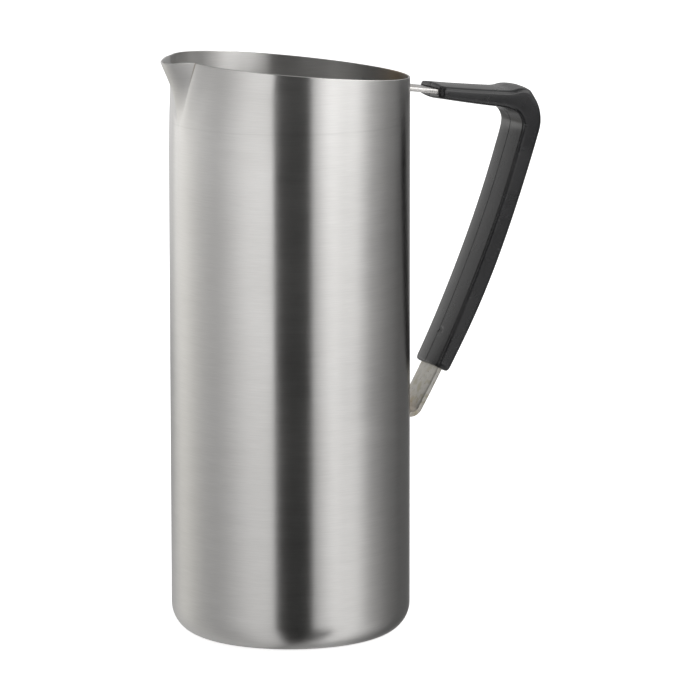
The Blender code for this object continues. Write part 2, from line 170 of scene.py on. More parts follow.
def share(name, default, description):
    """A share or a strength that the user can change."""
    return FloatProperty(
        name=name, description=description, default=default, min=0.0, soft_max=1.0, subtype="FACTOR"
    )


def colour(name, red_green_blue, description):
    """A colour that the user can change."""
    return FloatVectorProperty(
        name=name, description=description, default=(*red_green_blue, 1.0),
        size=4, min=0.0, max=1.0, subtype="COLOR",
    )


class VesselSettings(bpy.types.PropertyGroup):
    """Sizes and finish of the steel vessel"""

    body_radius: length("Body Radius", VESSEL_HIGH.y, "Outside radius of the straight wall")
    rim_height: length("Rim Height", 0.2505, "Height of the slanted rim above the middle of the base")
    rim_slant: angle("Rim Slant", 6.06, "Slope of the cut from the handle up to the spout")
    wall: length("Wall", 0.0008, "Thickness of the sheet")
    corner_radius: length("Corner Radius", 0.0128, "Rounding between the wall and the flat base")
    rim_edge: length("Rim Edge", 0.0002, "Rounding of the cut edge")
    spout_depth: length("Spout Depth", 0.0285, "How far down the wall the spout runs")
    spout_reach: length("Spout Reach", 0.0072, "How far the nose stands out at the rim")
    spout_half_angle: angle("Spout Half Angle", 16.9, "Half of the spout's opening at the rim")
    spout_narrowing: share("Spout Narrowing", 0.82, "Share of its opening that the spout loses")
    spout_nose: share("Spout Nose", 0.03, "Roundness of the nose")
    spout_fullness: share("Spout Fullness", 0.69, "How far the flanks swell at the rim")
    lip_droop: length("Lip Droop", 0.0024, "How far the nose dips under the plane of the rim")
    lip_sag: length("Lip Sag", 0.00048, "How far the lip sags halfway to the crease")
    crease_dip: length("Crease Dip", 0.00035, "How far the rim dips at the crease")
    draw_in: length("Draw In", 0.00085, "How far the wall is pulled in beside the spout")
    draw_rise_angle: angle("Draw Rise Angle", 12.2, "How far past the crease that pull is full")
    draw_in_angle: angle("Draw In Angle", 46.3, "How far past the crease that pull is felt")
    draw_depth: share("Draw Depth", 1.6, "How far down that pull is felt, in depths of the spout")
    rim_dip: length("Rim Dip", 0.0007, "How far the rim dips beside the spout")
    rim_dip_angle: angle("Rim Dip Angle", 87.0, "How far past the crease that dip is felt")
    steel_colour: colour("Steel Colour", (0.62, 0.614, 0.605), "Colour of the brushed steel")
    steel_roughness: share("Steel Roughness", 0.30, "How far the brushing spreads a reflection")
    line_width: length("Line Width", 0.00035, "Height of one brushed line")
    line_length: length("Line Length", 0.009, "Length of one brushed line round the wall")
    handling_size: length("Handling Size", 0.045, "Size of the soft clouds that handling leaves")
    draw_ring: length("Draw Ring", 0.227, "Height of the faint ring round the drawn wall")
    ring_width: length("Ring Width", 0.0007, "Half of that ring's width")
    # Painted shade along the spout's creases, where their shadow falls: the half width and the colour of
    # that dark line
    crease_shade_half_width: length("Crease Mark", 0.0005, "Half of the width of the mark along the creases")
    crease_shade_colour: colour("Crease Colour", (0.2, 0.15, 0.11), "Colour of that mark")
    heat_rise: length("Heat Rise", 0.004, "How far above the arm's joint the heat tint is centred")
    heat_reach: length("Heat Reach", 0.024, "How far the weld's heat tints the inside of the wall")
    heat_colour: colour("Heat Colour", (0.42, 0.31, 0.20), "Colour of that tint")


class HandleSettings(bpy.types.PropertyGroup):
    """Sizes and finish of the strap and its welds"""

    strap_width: length("Strap Width", 0.018, "Width of the flat bar")
    strap_thickness: length("Strap Thickness", 0.0020, "Thickness of the flat bar")
    strap_edge: length("Strap Edge", 0.0003, "Rounding of the bar's long edges")
    upper_joint: length("Upper Joint", 0.23826, "Height at which the arm meets the wall")
    lower_joint: length("Lower Joint", 0.0933, "Height at which the foot meets the wall")
    arm_drop: angle("Arm Drop", 8.0, "Fall of the arm away from the rim")
    handle_reach: length("Handle Reach", 0.1154, "Distance from the vessel's axis to the bar's corner")
    bend_radius: length("Bend Radius", 0.010, "Radius of the bend between arm and leg")
    leg_bow: angle("Leg Bow", 14.0, "Turn of the bowed leg along its length")
    foot_out: length("Foot Out", 0.0034, "Length of the stub between the wall and the leg")
    foot_radius: length("Foot Radius", 0.0048, "Radius of the bend above the foot")
    weld_leg: length("Weld Leg", 0.0010, "Size of the weld beads")
    fit_gap: length("Fit Gap", 0.0003, "Clearance between pieces")
    strap_colour: colour("Strap Colour", (0.445, 0.43, 0.395), "Colour of the satin bar")
    line_width: length("Line Width", 0.0016, "Width of one brushed line on the bar")
    line_length: length("Line Length", 0.0025, "Length of one brushed line on the bar")
    handling_size: length("Handling Size", 0.006, "Size of the pale spots that handling leaves")
    spot_colour: colour("Spot Colour", (0.42, 0.41, 0.40), "Colour of those spots")
    clean_reach: length("Clean Reach", 0.034, "How far the arm is cleaned bright from its weld")
    clean_colour: colour("Clean Colour", (0.655, 0.647, 0.645), "Colour of the bar where it is clean")
    stain_size: length("Stain Size", 0.0032, "Size of the stains on the foot")
    stain_reach: length("Stain Reach", 0.055, "How far from the lower joint the stains go")
    stain_colour: colour("Stain Colour", (0.27, 0.245, 0.15), "Colour of the stains")
    foot_heat_reach: length("Foot Heat Reach", 0.014, "How far the lower weld's heat tints the bar")
    arm_heat_reach: length("Arm Heat Reach", 0.011, "How far the upper weld's heat tints the bar")
    heat_colour: colour("Heat Colour", (0.42, 0.30, 0.19), "Colour of that tint")
    weld_colour: colour("Weld Colour", (0.20, 0.13, 0.075), "Colour of the heat tint on the welds")
    weld_patch: length("Weld Patch", 0.002, "Size of the tint's patches on the welds")
    weld_grain: length("Weld Grain", 0.0005, "Size of the welds' rough grain")


class GripSettings(bpy.types.PropertyGroup):
    """Sizes and finish of the moulded grip"""

    width: length("Grip Width", 2.0 * GRIP_HIGH.y, "Width across both halves")
    outer: length("Outer Thickness", 0.0048, "From the bar's middle to the outer face on the leg")
    inner: length("Inner Thickness", 0.0050, "From the bar's middle to the inner face on the leg")
    crown: length("Crown", 0.0009, "Height of the rounding across the faces")
    corner: length("Corner", 0.0021, "Rounding of the long outer edges")
    inner_corner: length("Inner Corner", 0.0019, "Rounding of the long edges on the fingers' side")
    end_corner: length("End Corner", 0.0025, "Rounding of the ends seen from above")
    rim_end_edge: length("Rim End Edge", 0.0017, "Rounding of the end near the rim")
    foot_end_edge: length("Foot End Edge", 0.0007, "Rounding of the end near the foot")
    from_rim: length("From Rim", 0.0150, "Bare bar between the wall and the grip at the top")
    from_foot: length("From Foot", 0.0268, "Bare bar between the grip and the wall at the bottom")
    gate_place: length("Gate Place", 0.0152, "From the foot end to the nick of the mould's gate")
    gate_size: length("Gate Size", 0.0028, "Reach of that nick")
    gate_grain: length("Gate Grain", 0.0011, "Size of the ragged marks in that nick")
    plastic_colour: colour("Plastic Colour", (0.011, 0.011, 0.0122), "Colour of the black plastic")
    plastic_roughness: share("Plastic Roughness", 0.22, "Satin finish of the plastic")
    grain_size: length("Grain Size", 0.00035, "Size of the mould's fine pebble")
    handling_size: length("Handling Size", 0.02, "Size of the soft clouds that handling leaves")
    scratch_colour: colour("Scratch Colour", (0.05, 0.05, 0.052), "Colour of fine scratches")


class StudioSettings(bpy.types.PropertyGroup):
    """Light, floor and camera"""

    screen_distance: length("Screen Distance", 0.7, "Distance of the light screens from the pitcher")
    screen_drop: length("Screen Drop", 0.35, "How far the screens reach below the floor")
    overhead_height: length("Overhead Height", 1.05, "Height of the card above the pitcher")
    overhead_spread: share("Overhead Spread", 1.1, "Radius of that card, in screen distances")
    floor_reach: length("Floor Reach", 4.0, "Half of the floor's side")
    floor_colour: colour("Floor Colour", (0.9, 0.9, 0.9), "Colour of the floor")
    floor_white: share("Floor White", 0.72, "White added to the floor in the camera's view only")
    fill_level: share("Fill Level", 0.7, "Strength of the plain fill light")
    camera_azimuth: angle("Camera Azimuth", -113.5, "Where the camera stands round the pitcher")
    steps: IntProperty(name="Steps", description="Sides of a curved screen", default=48, min=8)


# Curves and meshes that all pieces share


def smooth_between(table, place):
    """Reads a table of shares with a smooth curve through its points."""
    last = len(table) - 1
    step = 0
    while step < last - 1 and place > table[step + 1][0]:
        step += 1
    x0, y0 = table[step]
    x1, y1 = table[step + 1]
    before = table[max(step - 1, 0)]
    after = table[min(step + 2, last)]
    slope0 = (y1 - before[1]) / (x1 - before[0])
    slope1 = (after[1] - y0) / (after[0] - x0)
    span = x1 - x0
    u = (place - x0) / span
    return (
        y0 * (2 * u**3 - 3 * u**2 + 1)
        + slope0 * span * (u**3 - 2 * u**2 + u)
        + y1 * (3 * u**2 - 2 * u**3)
        + slope1 * span * (u**3 - u**2)
    )


def fade(place):
    """One at the start, zero at the end, level at both."""
    return 0.5 + 0.5 * math.cos(math.pi * min(max(place, 0.0), 1.0))


def bridge(mesh, rings):
    """Joins each ring of vertices to the next with a band of faces."""
    for near, far in zip(rings, rings[1:]):
        for i in range(len(near)):
            j = (i + 1) % len(near)
            mesh.faces.new((near[i], near[j], far[j], far[i]))


def place_rings(mesh, rings):
    """Puts rings of points into the mesh and joins them in order."""
    made = [[mesh.verts.new(point) for point in ring] for ring in rings]
    bridge(mesh, made)
    return made


def new_object(mesh, name, look):
    """Turns a worked mesh into an object of the scene, with its material."""
    data = bpy.data.meshes.new(name)
    mesh.to_mesh(data)
    mesh.free()
    data.materials.append(look)
    made = bpy.data.objects.new(name, data)
    bpy.context.scene.collection.objects.link(made)
    return made


def piece(mesh, name, look, nodes, sharp=35.0):
    """Makes a worked mesh a visible piece that rides on the pitcher and stands for its CAD nodes."""
    bmesh.ops.recalc_face_normals(mesh, faces=mesh.faces)
    made = new_object(mesh, name, look)
    made.data.shade_smooth()
    made.data.set_sharp_from_angle(angle=math.radians(sharp))
    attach(made, "root")
    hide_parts(*nodes)
    return made


# Shader nodes


def add(tree, kind, *values, **options):
    """A new node, with its options set and its inputs given a value or a link in order."""
    made = tree.nodes.new("ShaderNode" + kind)
    made.location = (190.0 * len(tree.nodes), 0.0)
    for name, value in options.items():
        setattr(made, name, value)
    for socket, value in zip(made.inputs, values):
        feed(tree, socket, value)
    return made


def feed(tree, socket, value):
    """Links an output to a socket, or sets a constant on it. None leaves it as it is."""
    if value is None:
        return
    if isinstance(value, bpy.types.NodeSocket):
        tree.links.new(value, socket)
    else:
        socket.default_value = value


def calc(tree, operation, *values):
    """The result of a Math node."""
    return add(tree, "Math", *values, operation=operation).outputs[0]


def remap(tree, value, low, high, to_low, to_high, smooth=False):
    """Moves a value from one range to another, held at both ends."""
    kind = "SMOOTHSTEP" if smooth else "LINEAR"
    made = add(tree, "MapRange", value, low, high, to_low, to_high, interpolation_type=kind)
    return made.outputs[0]


def vector(tree, operation, *values):
    """The vector that a Vector Math node puts out."""
    return add(tree, "VectorMath", *values, operation=operation).outputs[0]


def vector_value(tree, operation, *values):
    """The number that a Vector Math node puts out, such as a length or a distance."""
    return add(tree, "VectorMath", *values, operation=operation).outputs["Value"]


def mix_colour(tree, factor, a, b, blend_type="MIX"):
    """Colour a where the factor is zero, and colour b where it is one."""
    made = add(tree, "Mix", data_type="RGBA", blend_type=blend_type)
    feed(tree, made.inputs[0], factor)
    feed(tree, made.inputs[6], a)
    feed(tree, made.inputs[7], b)
    return made.outputs[2]


def bump_normal(tree, height, strength, distance, under=None):
    """The normal of a bumped surface, laid over another normal where one is given."""
    made = add(tree, "Bump")
    feed(tree, made.inputs["Strength"], strength)
    feed(tree, made.inputs["Distance"], distance)
    feed(tree, made.inputs["Height"], height)
    feed(tree, made.inputs["Normal"], under)
    return made.outputs[0]


def in_sizes(tree, place, size):
    """The place counted in steps of the given size."""
    scale = calc(tree, "DIVIDE", 1.0, size)
    return vector(tree, "MULTIPLY", place, add(tree, "CombineXYZ", scale, scale, scale).outputs[0])


def shader_group(name, inputs, outputs):
    """An empty node group with named sockets. Returns it with its input and output nodes."""
    tree = bpy.data.node_groups.new(name, "ShaderNodeTree")
    for label, kind, default in inputs:
        kind = "NodeSocket" + kind
        socket = tree.interface.new_socket(name=label, in_out="INPUT", socket_type=kind)
        if default is not None:
            socket.default_value = default
    for label, kind in outputs:
        tree.interface.new_socket(name=label, in_out="OUTPUT", socket_type="NodeSocket" + kind)
    return tree, tree.nodes.new("NodeGroupInput").outputs, tree.nodes.new("NodeGroupOutput").inputs


def use_group(tree, name, **values):
    """Places a shader node group, built at its first use, with its own values."""
    group = bpy.data.node_groups.get(name) or GROUPS[name]()
    made = add(tree, "Group", node_tree=group)
    for label, value in values.items():
        feed(tree, made.inputs[label.replace("_", " ")], value)
    return made.outputs


def brushed_lines():
    """Fine drawn lines: thin across the line, long along it, with broader bands between them."""
    tree, given, out = shader_group(
        "brushed_lines",
        (("Place", "Vector", None), ("Line Length", "Float", 0.01), ("Line Width", "Float", 0.0004)),
        (("Lines", "Float"), ("Bands", "Float"), ("Height", "Float")),
    )
    along = calc(tree, "DIVIDE", 1.0, given["Line Length"])
    across = calc(tree, "DIVIDE", 1.0, given["Line Width"])
    scale = add(tree, "CombineXYZ", along, along, across).outputs[0]
    fine_place = vector(tree, "MULTIPLY", given["Place"], scale)
    fine = add(tree, "TexNoise", fine_place, None, 1.0, 3.0, 0.6).outputs[0]
    broad_place = vector(tree, "MULTIPLY", fine_place, (0.35, 0.35, 0.09))
    broad = add(tree, "TexNoise", broad_place, None, 1.0, 2.0, 0.55).outputs[0]
    tree.links.new(fine, out["Lines"])
    tree.links.new(broad, out["Bands"])
    both = calc(tree, "MULTIPLY_ADD", fine, 0.75, calc(tree, "MULTIPLY", broad, 0.25))
    tree.links.new(both, out["Height"])
    return tree


def handling_marks():
    """Soft clouds of handling, and a few fine scratches through them."""
    tree, given, out = shader_group(
        "handling_marks",
        (("Place", "Vector", None), ("Size", "Float", 0.03)),
        (("Clouds", "Float"), ("Scratches", "Float")),
    )
    placed = in_sizes(tree, given["Place"], given["Size"])
    clouds = add(tree, "TexNoise", placed, None, 1.0, 3.0, 0.5, 2.0, 0.4).outputs[0]
    tree.links.new(remap(tree, clouds, 0.35, 0.65, 0.0, 1.0, True), out["Clouds"])
    lines = vector(tree, "MULTIPLY", placed, (7.0, 60.0, 22.0))
    scratch = add(tree, "TexNoise", lines, None, 1.0, 1.0, 0.4, 2.0, 1.5).outputs[0]
    tree.links.new(remap(tree, scratch, 0.66, 0.72, 0.0, 1.0, True), out["Scratches"])
    return tree


def moulded_grain():
    """The even pebble of a spark-eroded mould."""
    tree, given, out = shader_group(
        "moulded_grain",
        (("Place", "Vector", None), ("Grain Size", "Float", 0.0003)),
        (("Grain", "Float"),),
    )
    placed = in_sizes(tree, given["Place"], given["Grain Size"])
    grain = add(tree, "TexNoise", placed, None, 1.0, 2.0, 0.6).outputs[0]
    tree.links.new(grain, out["Grain"])
    return tree


def soft_glow():
    """Light on a screen round one direction, with a soft edge."""
    tree, given, out = shader_group(
        "soft_glow",
        (
            ("Place", "Vector", None), ("Towards", "Vector", None),
            ("Reach", "Float", 0.5), ("Edge", "Float", 0.3),
        ),
        (("Glow", "Float"),),
    )
    way = vector(tree, "NORMALIZE", vector(tree, "MULTIPLY", given["Place"], (1.0, 1.0, 0.0)))
    away = calc(tree, "ARCCOSINE", vector_value(tree, "DOT_PRODUCT", way, given["Towards"]))
    near = calc(tree, "SUBTRACT", given["Reach"], given["Edge"])
    far = calc(tree, "ADD", given["Reach"], given["Edge"])
    tree.links.new(remap(tree, away, near, far, 1.0, 0.0, True), out["Glow"])
    return tree


GROUPS = {
    "brushed_lines": brushed_lines,
    "handling_marks": handling_marks,
    "moulded_grain": moulded_grain,
    "soft_glow": soft_glow,
}


def new_look(name):
    """A material with its shader, its node tree and the place of each surface point, in metres."""
    look = bpy.data.materials.new(name)
    look.use_nodes = True
    tree = look.node_tree
    shader = tree.nodes["Principled BSDF"]
    shader.location = (3200.0, 0.0)
    tree.nodes["Material Output"].location = (3500.0, 0.0)
    place = add(tree, "TexCoord").outputs["Object"]
    return look, tree, shader, place


def near_point(tree, place, point, reach):
    """One at the point, falling to zero at the reach."""
    away = vector_value(tree, "DISTANCE", place, point)
    return remap(tree, away, 0.0, reach, 1.0, 0.0, True)


def inside_mask(tree, place, v):
    """One on the inside of the wall, zero on its outside."""
    out = vector_value(tree, "LENGTH", vector(tree, "MULTIPLY", place, (1.0, 1.0, 0.0)))
    return remap(tree, out, v.body_radius - 0.6 * v.wall, v.body_radius - 0.4 * v.wall, 1.0, 0.0)


def toned(base, level):
    """A colour made darker or lighter, at the given level of its own light."""
    return (*(level * part for part in base[:3]), 1.0)


def crease_shade_line(tree, place, v):
    """Painted shade: a thin dark line along both creases of the spout, standing in for their shadow,
    strongest at the rim.
    """
    x, y, z = add(tree, "SeparateXYZ", place).outputs
    rim = calc(tree, "MULTIPLY_ADD", x, -math.tan(v.rim_slant), v.rim_height)
    depth = calc(tree, "DIVIDE", calc(tree, "SUBTRACT", rim, z), v.spout_depth)
    narrowing = -v.spout_half_angle * v.spout_narrowing
    crease = calc(tree, "MULTIPLY_ADD", depth, narrowing, v.spout_half_angle)
    at = calc(tree, "ARCTAN2", calc(tree, "ABSOLUTE", y), calc(tree, "MULTIPLY", x, -1.0))
    away = calc(tree, "ABSOLUTE", calc(tree, "SUBTRACT", at, crease))
    line = remap(tree, away, 0.0, v.crease_shade_half_width / v.body_radius, 1.0, 0.0, True)
    return calc(tree, "MULTIPLY", line, remap(tree, depth, 0.05, 0.42, 0.75, 0.0))


def brushed_steel(v, h):
    """The vessel's steel: drawn lines round it, soft clouds, a faint ring, painted shade along the
    creases, and heat tint.
    """
    look, tree, shader, place = new_look("brushed_steel_body")
    lines = use_group(
        tree, "brushed_lines", Place=place, Line_Length=v.line_length, Line_Width=v.line_width
    )
    marks = use_group(tree, "handling_marks", Place=place, Size=v.handling_size)
    steel = tuple(v.steel_colour)
    tone = calc(tree, "MULTIPLY_ADD", lines["Lines"], 0.7, calc(tree, "MULTIPLY", lines["Bands"], 0.3))
    tone = remap(tree, tone, 0.3, 0.7, 0.0, 1.0)
    base = mix_colour(tree, tone, toned(steel, 0.89), steel)
    cloud = calc(tree, "MULTIPLY", marks["Clouds"], 0.35)
    base = mix_colour(tree, cloud, base, (0.985, 0.98, 0.97, 1.0), "MULTIPLY")
    height = add(tree, "SeparateXYZ", place).outputs["Z"]
    away = calc(tree, "ABSOLUTE", calc(tree, "SUBTRACT", height, v.draw_ring))
    ring = remap(tree, away, 0.0, v.ring_width, 0.13, 0.0, True)
    ring = calc(tree, "MULTIPLY", ring, lines["Bands"])
    base = mix_colour(tree, ring, base, (0.0, 0.0, 0.0, 1.0))
    # Painted shade: a dark line along both creases of the spout
    base = mix_colour(tree, crease_shade_line(tree, place, v), base, tuple(v.crease_shade_colour))
    hottest = (v.body_radius - v.wall, 0.0, h.upper_joint + v.heat_rise)
    heat = near_point(tree, place, hottest, v.heat_reach)
    heat = calc(tree, "MULTIPLY", heat, remap(tree, marks["Clouds"], 0.0, 1.0, 0.5, 0.9))
    heat = calc(tree, "MULTIPLY", heat, inside_mask(tree, place, v))
    base = mix_colour(tree, heat, base, tuple(v.heat_colour))
    feed(tree, shader.inputs["Base Color"], base)
    shader.inputs["Metallic"].default_value = 1.0
    rough = calc(tree, "MULTIPLY_ADD", lines["Bands"], 0.06, v.steel_roughness - 0.06)
    rough = calc(tree, "MULTIPLY_ADD", lines["Lines"], 0.06, rough)
    rough = calc(tree, "MULTIPLY_ADD", marks["Clouds"], 0.03, rough)
    feed(tree, shader.inputs["Roughness"], rough)
    shader.inputs["Anisotropic"].default_value = 0.95
    shader.inputs["Anisotropic Rotation"].default_value = 0.25
    tangent = add(tree, "Tangent", direction_type="RADIAL", axis="Z")
    tree.links.new(tangent.outputs[0], shader.inputs["Tangent"])
    feed(tree, shader.inputs["Normal"], bump_normal(tree, lines["Height"], 0.2, 0.00003))
    return look


def satin_strap(v, h):
    """The bar's steel: short lines, spots, a cleaned arm, a stained foot and heat tint at both ends."""
    look, tree, shader, place = new_look("satin_strap_steel")
    upper, lower = (v.body_radius, 0.0, h.upper_joint), (v.body_radius, 0.0, h.lower_joint)
    lines = use_group(
        tree, "brushed_lines", Place=place, Line_Length=h.line_length, Line_Width=h.line_width
    )
    marks = use_group(tree, "handling_marks", Place=place, Size=h.handling_size)
    steel = tuple(h.strap_colour)
    tone = remap(tree, lines["Lines"], 0.35, 0.65, 0.0, 1.0)
    base = mix_colour(tree, tone, toned(steel, 0.8), steel)
    spots = remap(tree, marks["Clouds"], 0.75, 1.0, 0.0, 0.5)
    base = mix_colour(tree, spots, base, tuple(h.spot_colour))
    clean = calc(tree, "MULTIPLY", near_point(tree, place, upper, h.clean_reach), 0.85)
    base = mix_colour(tree, clean, base, tuple(h.clean_colour))
    stain = use_group(tree, "handling_marks", Place=place, Size=h.stain_size)
    stain = remap(tree, stain["Clouds"], 0.5, 1.0, 0.0, 0.6, True)
    stain = calc(tree, "MULTIPLY", stain, near_point(tree, place, lower, h.stain_reach))
    base = mix_colour(tree, stain, base, tuple(h.stain_colour))
    heat = near_point(tree, place, lower, h.foot_heat_reach)
    heat = calc(tree, "MAXIMUM", heat, near_point(tree, place, upper, h.arm_heat_reach))
    heat = calc(tree, "MULTIPLY", heat, remap(tree, marks["Clouds"], 0.0, 1.0, 0.35, 0.85))
    base = mix_colour(tree, heat, base, tuple(h.heat_colour))
    feed(tree, shader.inputs["Base Color"], base)
    shader.inputs["Metallic"].default_value = 1.0
    feed(tree, shader.inputs["Roughness"], remap(tree, lines["Lines"], 0.3, 0.7, 0.26, 0.40))
    feed(tree, shader.inputs["Normal"], bump_normal(tree, lines["Height"], 0.2, 0.00008))
    return look


def tinted_weld(h):
    """The welds' steel: brown heat tint in patches over a rough grain."""
    look, tree, shader, place = new_look("heat_tinted_weld")
    marks = use_group(tree, "handling_marks", Place=place, Size=h.weld_patch)
    tint = remap(tree, marks["Clouds"], 0.0, 1.0, 0.45, 1.0)
    base = mix_colour(tree, tint, tuple(h.strap_colour), tuple(h.weld_colour))
    feed(tree, shader.inputs["Base Color"], base)
    shader.inputs["Metallic"].default_value = 1.0
    feed(tree, shader.inputs["Roughness"], remap(tree, marks["Clouds"], 0.0, 1.0, 0.38, 0.58))
    grain = use_group(tree, "moulded_grain", Place=place, Grain_Size=h.weld_grain)
    feed(tree, shader.inputs["Normal"], bump_normal(tree, grain["Grain"], 0.4, 0.0001))
    return look


def black_plastic(v, h, g):
    """The grip's plastic: a fine pebble, soft clouds, scratches, and the ragged nick of the gate."""
    look, tree, shader, place = new_look("black_moulded_plastic")
    grain = use_group(tree, "moulded_grain", Place=place, Grain_Size=g.grain_size)
    marks = use_group(tree, "handling_marks", Place=place, Size=g.handling_size)
    black = tuple(g.plastic_colour)
    cloud = calc(tree, "MULTIPLY", marks["Clouds"], 0.5)
    base = mix_colour(tree, cloud, black, toned(black, 1.35))
    scratch = calc(tree, "MULTIPLY", marks["Scratches"], 0.5)
    base = mix_colour(tree, scratch, base, tuple(g.scratch_colour))
    feed(tree, shader.inputs["Base Color"], base)
    rough = calc(tree, "MULTIPLY_ADD", marks["Clouds"], 0.06, g.plastic_roughness)
    rough = calc(tree, "MULTIPLY_ADD", grain["Grain"], 0.05, rough)
    feed(tree, shader.inputs["Roughness"], rough)
    path = handle_path(v, h)
    along = path_length(path) - g.from_foot - g.gate_place
    gate_middle = place_on(path, along, -0.84 * g.inner, -0.07 * g.width)
    gate = near_point(tree, place, tuple(gate_middle), g.gate_size)
    ragged = use_group(tree, "moulded_grain", Place=place, Grain_Size=g.gate_grain)
    ragged = remap(tree, ragged["Grain"], 0.42, 0.58, 0.3, -1.0)
    nick = bump_normal(tree, calc(tree, "MULTIPLY", gate, ragged), 0.8, 0.0008)
    feed(tree, shader.inputs["Normal"], bump_normal(tree, grain["Grain"], 0.12, 0.00006, nick))
    return look


# Vessel


def rim_height(v, x):
    """The slanted cut through the cylinder, highest at the spout, which points to -X."""
    return v.rim_height - x * math.tan(v.rim_slant)


def crease_angle(v, depth):
    """Half of the spout's opening angle, which narrows down its depth."""
    return v.spout_half_angle * (1.0 - v.spout_narrowing * min(depth, 1.0))


def flank_point(v, side, across, depth):
    """A point on the spout: the nose is rounded, and each flank runs to its crease."""
    crease = crease_angle(v, depth)
    crease_x = v.body_radius * math.cos(crease)
    flare = smooth_between(FLARE_SHARES, depth) if depth < 1.0 else 0.0
    nose_x = v.body_radius + v.spout_reach * flare
    nose = v.spout_nose
    run = (math.hypot(across, nose) - nose) / (math.hypot(1.0, nose) - nose)
    fullness = v.spout_fullness * (1.0 - min(depth, 1.0)) ** 2
    x = -(nose_x + (crease_x - nose_x) * run ** (1.0 + fullness))
    y = side * v.body_radius * math.sin(crease) * across
    droop = (v.lip_droop * fade(across) + v.lip_sag * math.sin(math.pi * across) ** 2) * fade(depth)
    dip = v.crease_dip * (1.0 - fade(across)) * fade(depth / v.draw_depth)
    return Vector((x, y, rim_height(v, x) - droop - dip - v.spout_depth * depth))


def side_point(v, side, turn, depth):
    """A point on the wall beyond the crease, drawn in a little beside the spout."""
    crease = crease_angle(v, depth)
    at = crease + (math.pi - crease) * turn
    past = at - crease
    left = fade(depth / v.draw_depth)
    rise = 1.0 - fade(past / v.draw_rise_angle)
    beyond = (past - v.draw_rise_angle) / (v.draw_in_angle - v.draw_rise_angle)
    radius = v.body_radius - v.draw_in * left * rise * fade(beyond)
    x = -radius * math.cos(at)
    dip = (v.crease_dip + (v.rim_dip - v.crease_dip) * rise) * left * fade(past / v.rim_dip_angle)
    return Vector((x, side * radius * math.sin(at), rim_height(v, x) - dip - v.spout_depth * depth))


def vessel_ring(v, depth):
    """One row of the wall, all the way round, starting at the spout's nose."""
    flank_steps, close_steps, round_steps, close = 26, 14, 110, 0.12
    flank = [(i / flank_steps) ** 1.15 for i in range(flank_steps)] + [0.985, 1.0]
    turns = [close * (i / close_steps) ** 1.8 for i in range(1, close_steps + 1)]
    turns += [close + (1.0 - close) * i / round_steps for i in range(1, round_steps + 1)]
    half = [flank_point(v, 1, across, depth) for across in flank]
    half += [side_point(v, 1, turn, depth) for turn in turns]
    half += [side_point(v, -1, turn, depth) for turn in reversed(turns[:-1])]
    return half + [flank_point(v, -1, across, depth) for across in reversed(flank[1:])]


def vessel_mesh(v):
    """The outside of the vessel, from the rim down to the middle of the base."""
    mesh = bmesh.new()
    spout_rows, corner_rows = 34, 18
    depths = [(i / spout_rows) ** 1.2 for i in range(spout_rows + 1)]
    depths += [1.04, 1.12, 1.2, 1.3, 1.4, 1.5, 1.6]
    rings = [vessel_ring(v, depth) for depth in depths]
    around = [math.atan2(point.y, point.x) for point in rings[-1]]
    flat = v.body_radius - v.corner_radius
    corner = [0.5 * math.pi * i / corner_rows for i in range(corner_rows + 1)]
    profile = [(v.body_radius, v.corner_radius * rise) for rise in (6.0, 1.06)]
    profile += [
        (flat + v.corner_radius * math.cos(turn), v.corner_radius * (1.0 - math.sin(turn)))
        for turn in corner
    ]
    profile += [(flat * inward, 0.0) for inward in (0.985, 0.7, 0.4, 0.15)]
    rings += [[Vector((r * math.cos(a), r * math.sin(a), z)) for a in around] for r, z in profile]
    made = place_rings(mesh, rings)
    centre = mesh.verts.new((0.0, 0.0, 0.0))
    for i, vert in enumerate(made[-1]):
        mesh.faces.new((vert, made[-1][(i + 1) % len(around)], centre))
    return mesh


class PITCHER_OT_vessel(bpy.types.Operator):
    """Build the drawn vessel with its pulled spout and its rounded rim"""

    bl_idname = "pitcher.vessel"
    bl_label = "Build Vessel"

    def execute(self, context):
        v, h = context.scene.pitcher_vessel, context.scene.pitcher_handle
        if v.corner_radius >= v.body_radius:
            raise ValueError("the corner radius has to be smaller than the body radius")
        look = brushed_steel(v, h)
        vessel = piece(vessel_mesh(v), "vessel_body", look, ["vessel"])
        if vessel.data.polygons[-1].normal.z > 0.0:
            vessel.data.flip_normals()
        shell = vessel.modifiers.new("wall", "SOLIDIFY")
        shell.thickness = v.wall
        shell.offset = -1.0
        shell.use_even_offset = True
        edge = vessel.modifiers.new("rim_edge", "BEVEL")
        edge.width = v.rim_edge
        edge.segments = 3
        edge.limit_method = "ANGLE"
        edge.angle_limit = math.radians(60.0)
        return {"FINISHED"}


# Handle path, in the plane of the handle: distance from the vessel's axis, height, and heading


def advance(point, radius, start, end):
    """Follows a right-hand arc from one heading to the next."""
    along = radius * (math.sin(start) - math.sin(end))
    return (point[0] + along, point[1] + radius * (math.cos(end) - math.cos(start)))


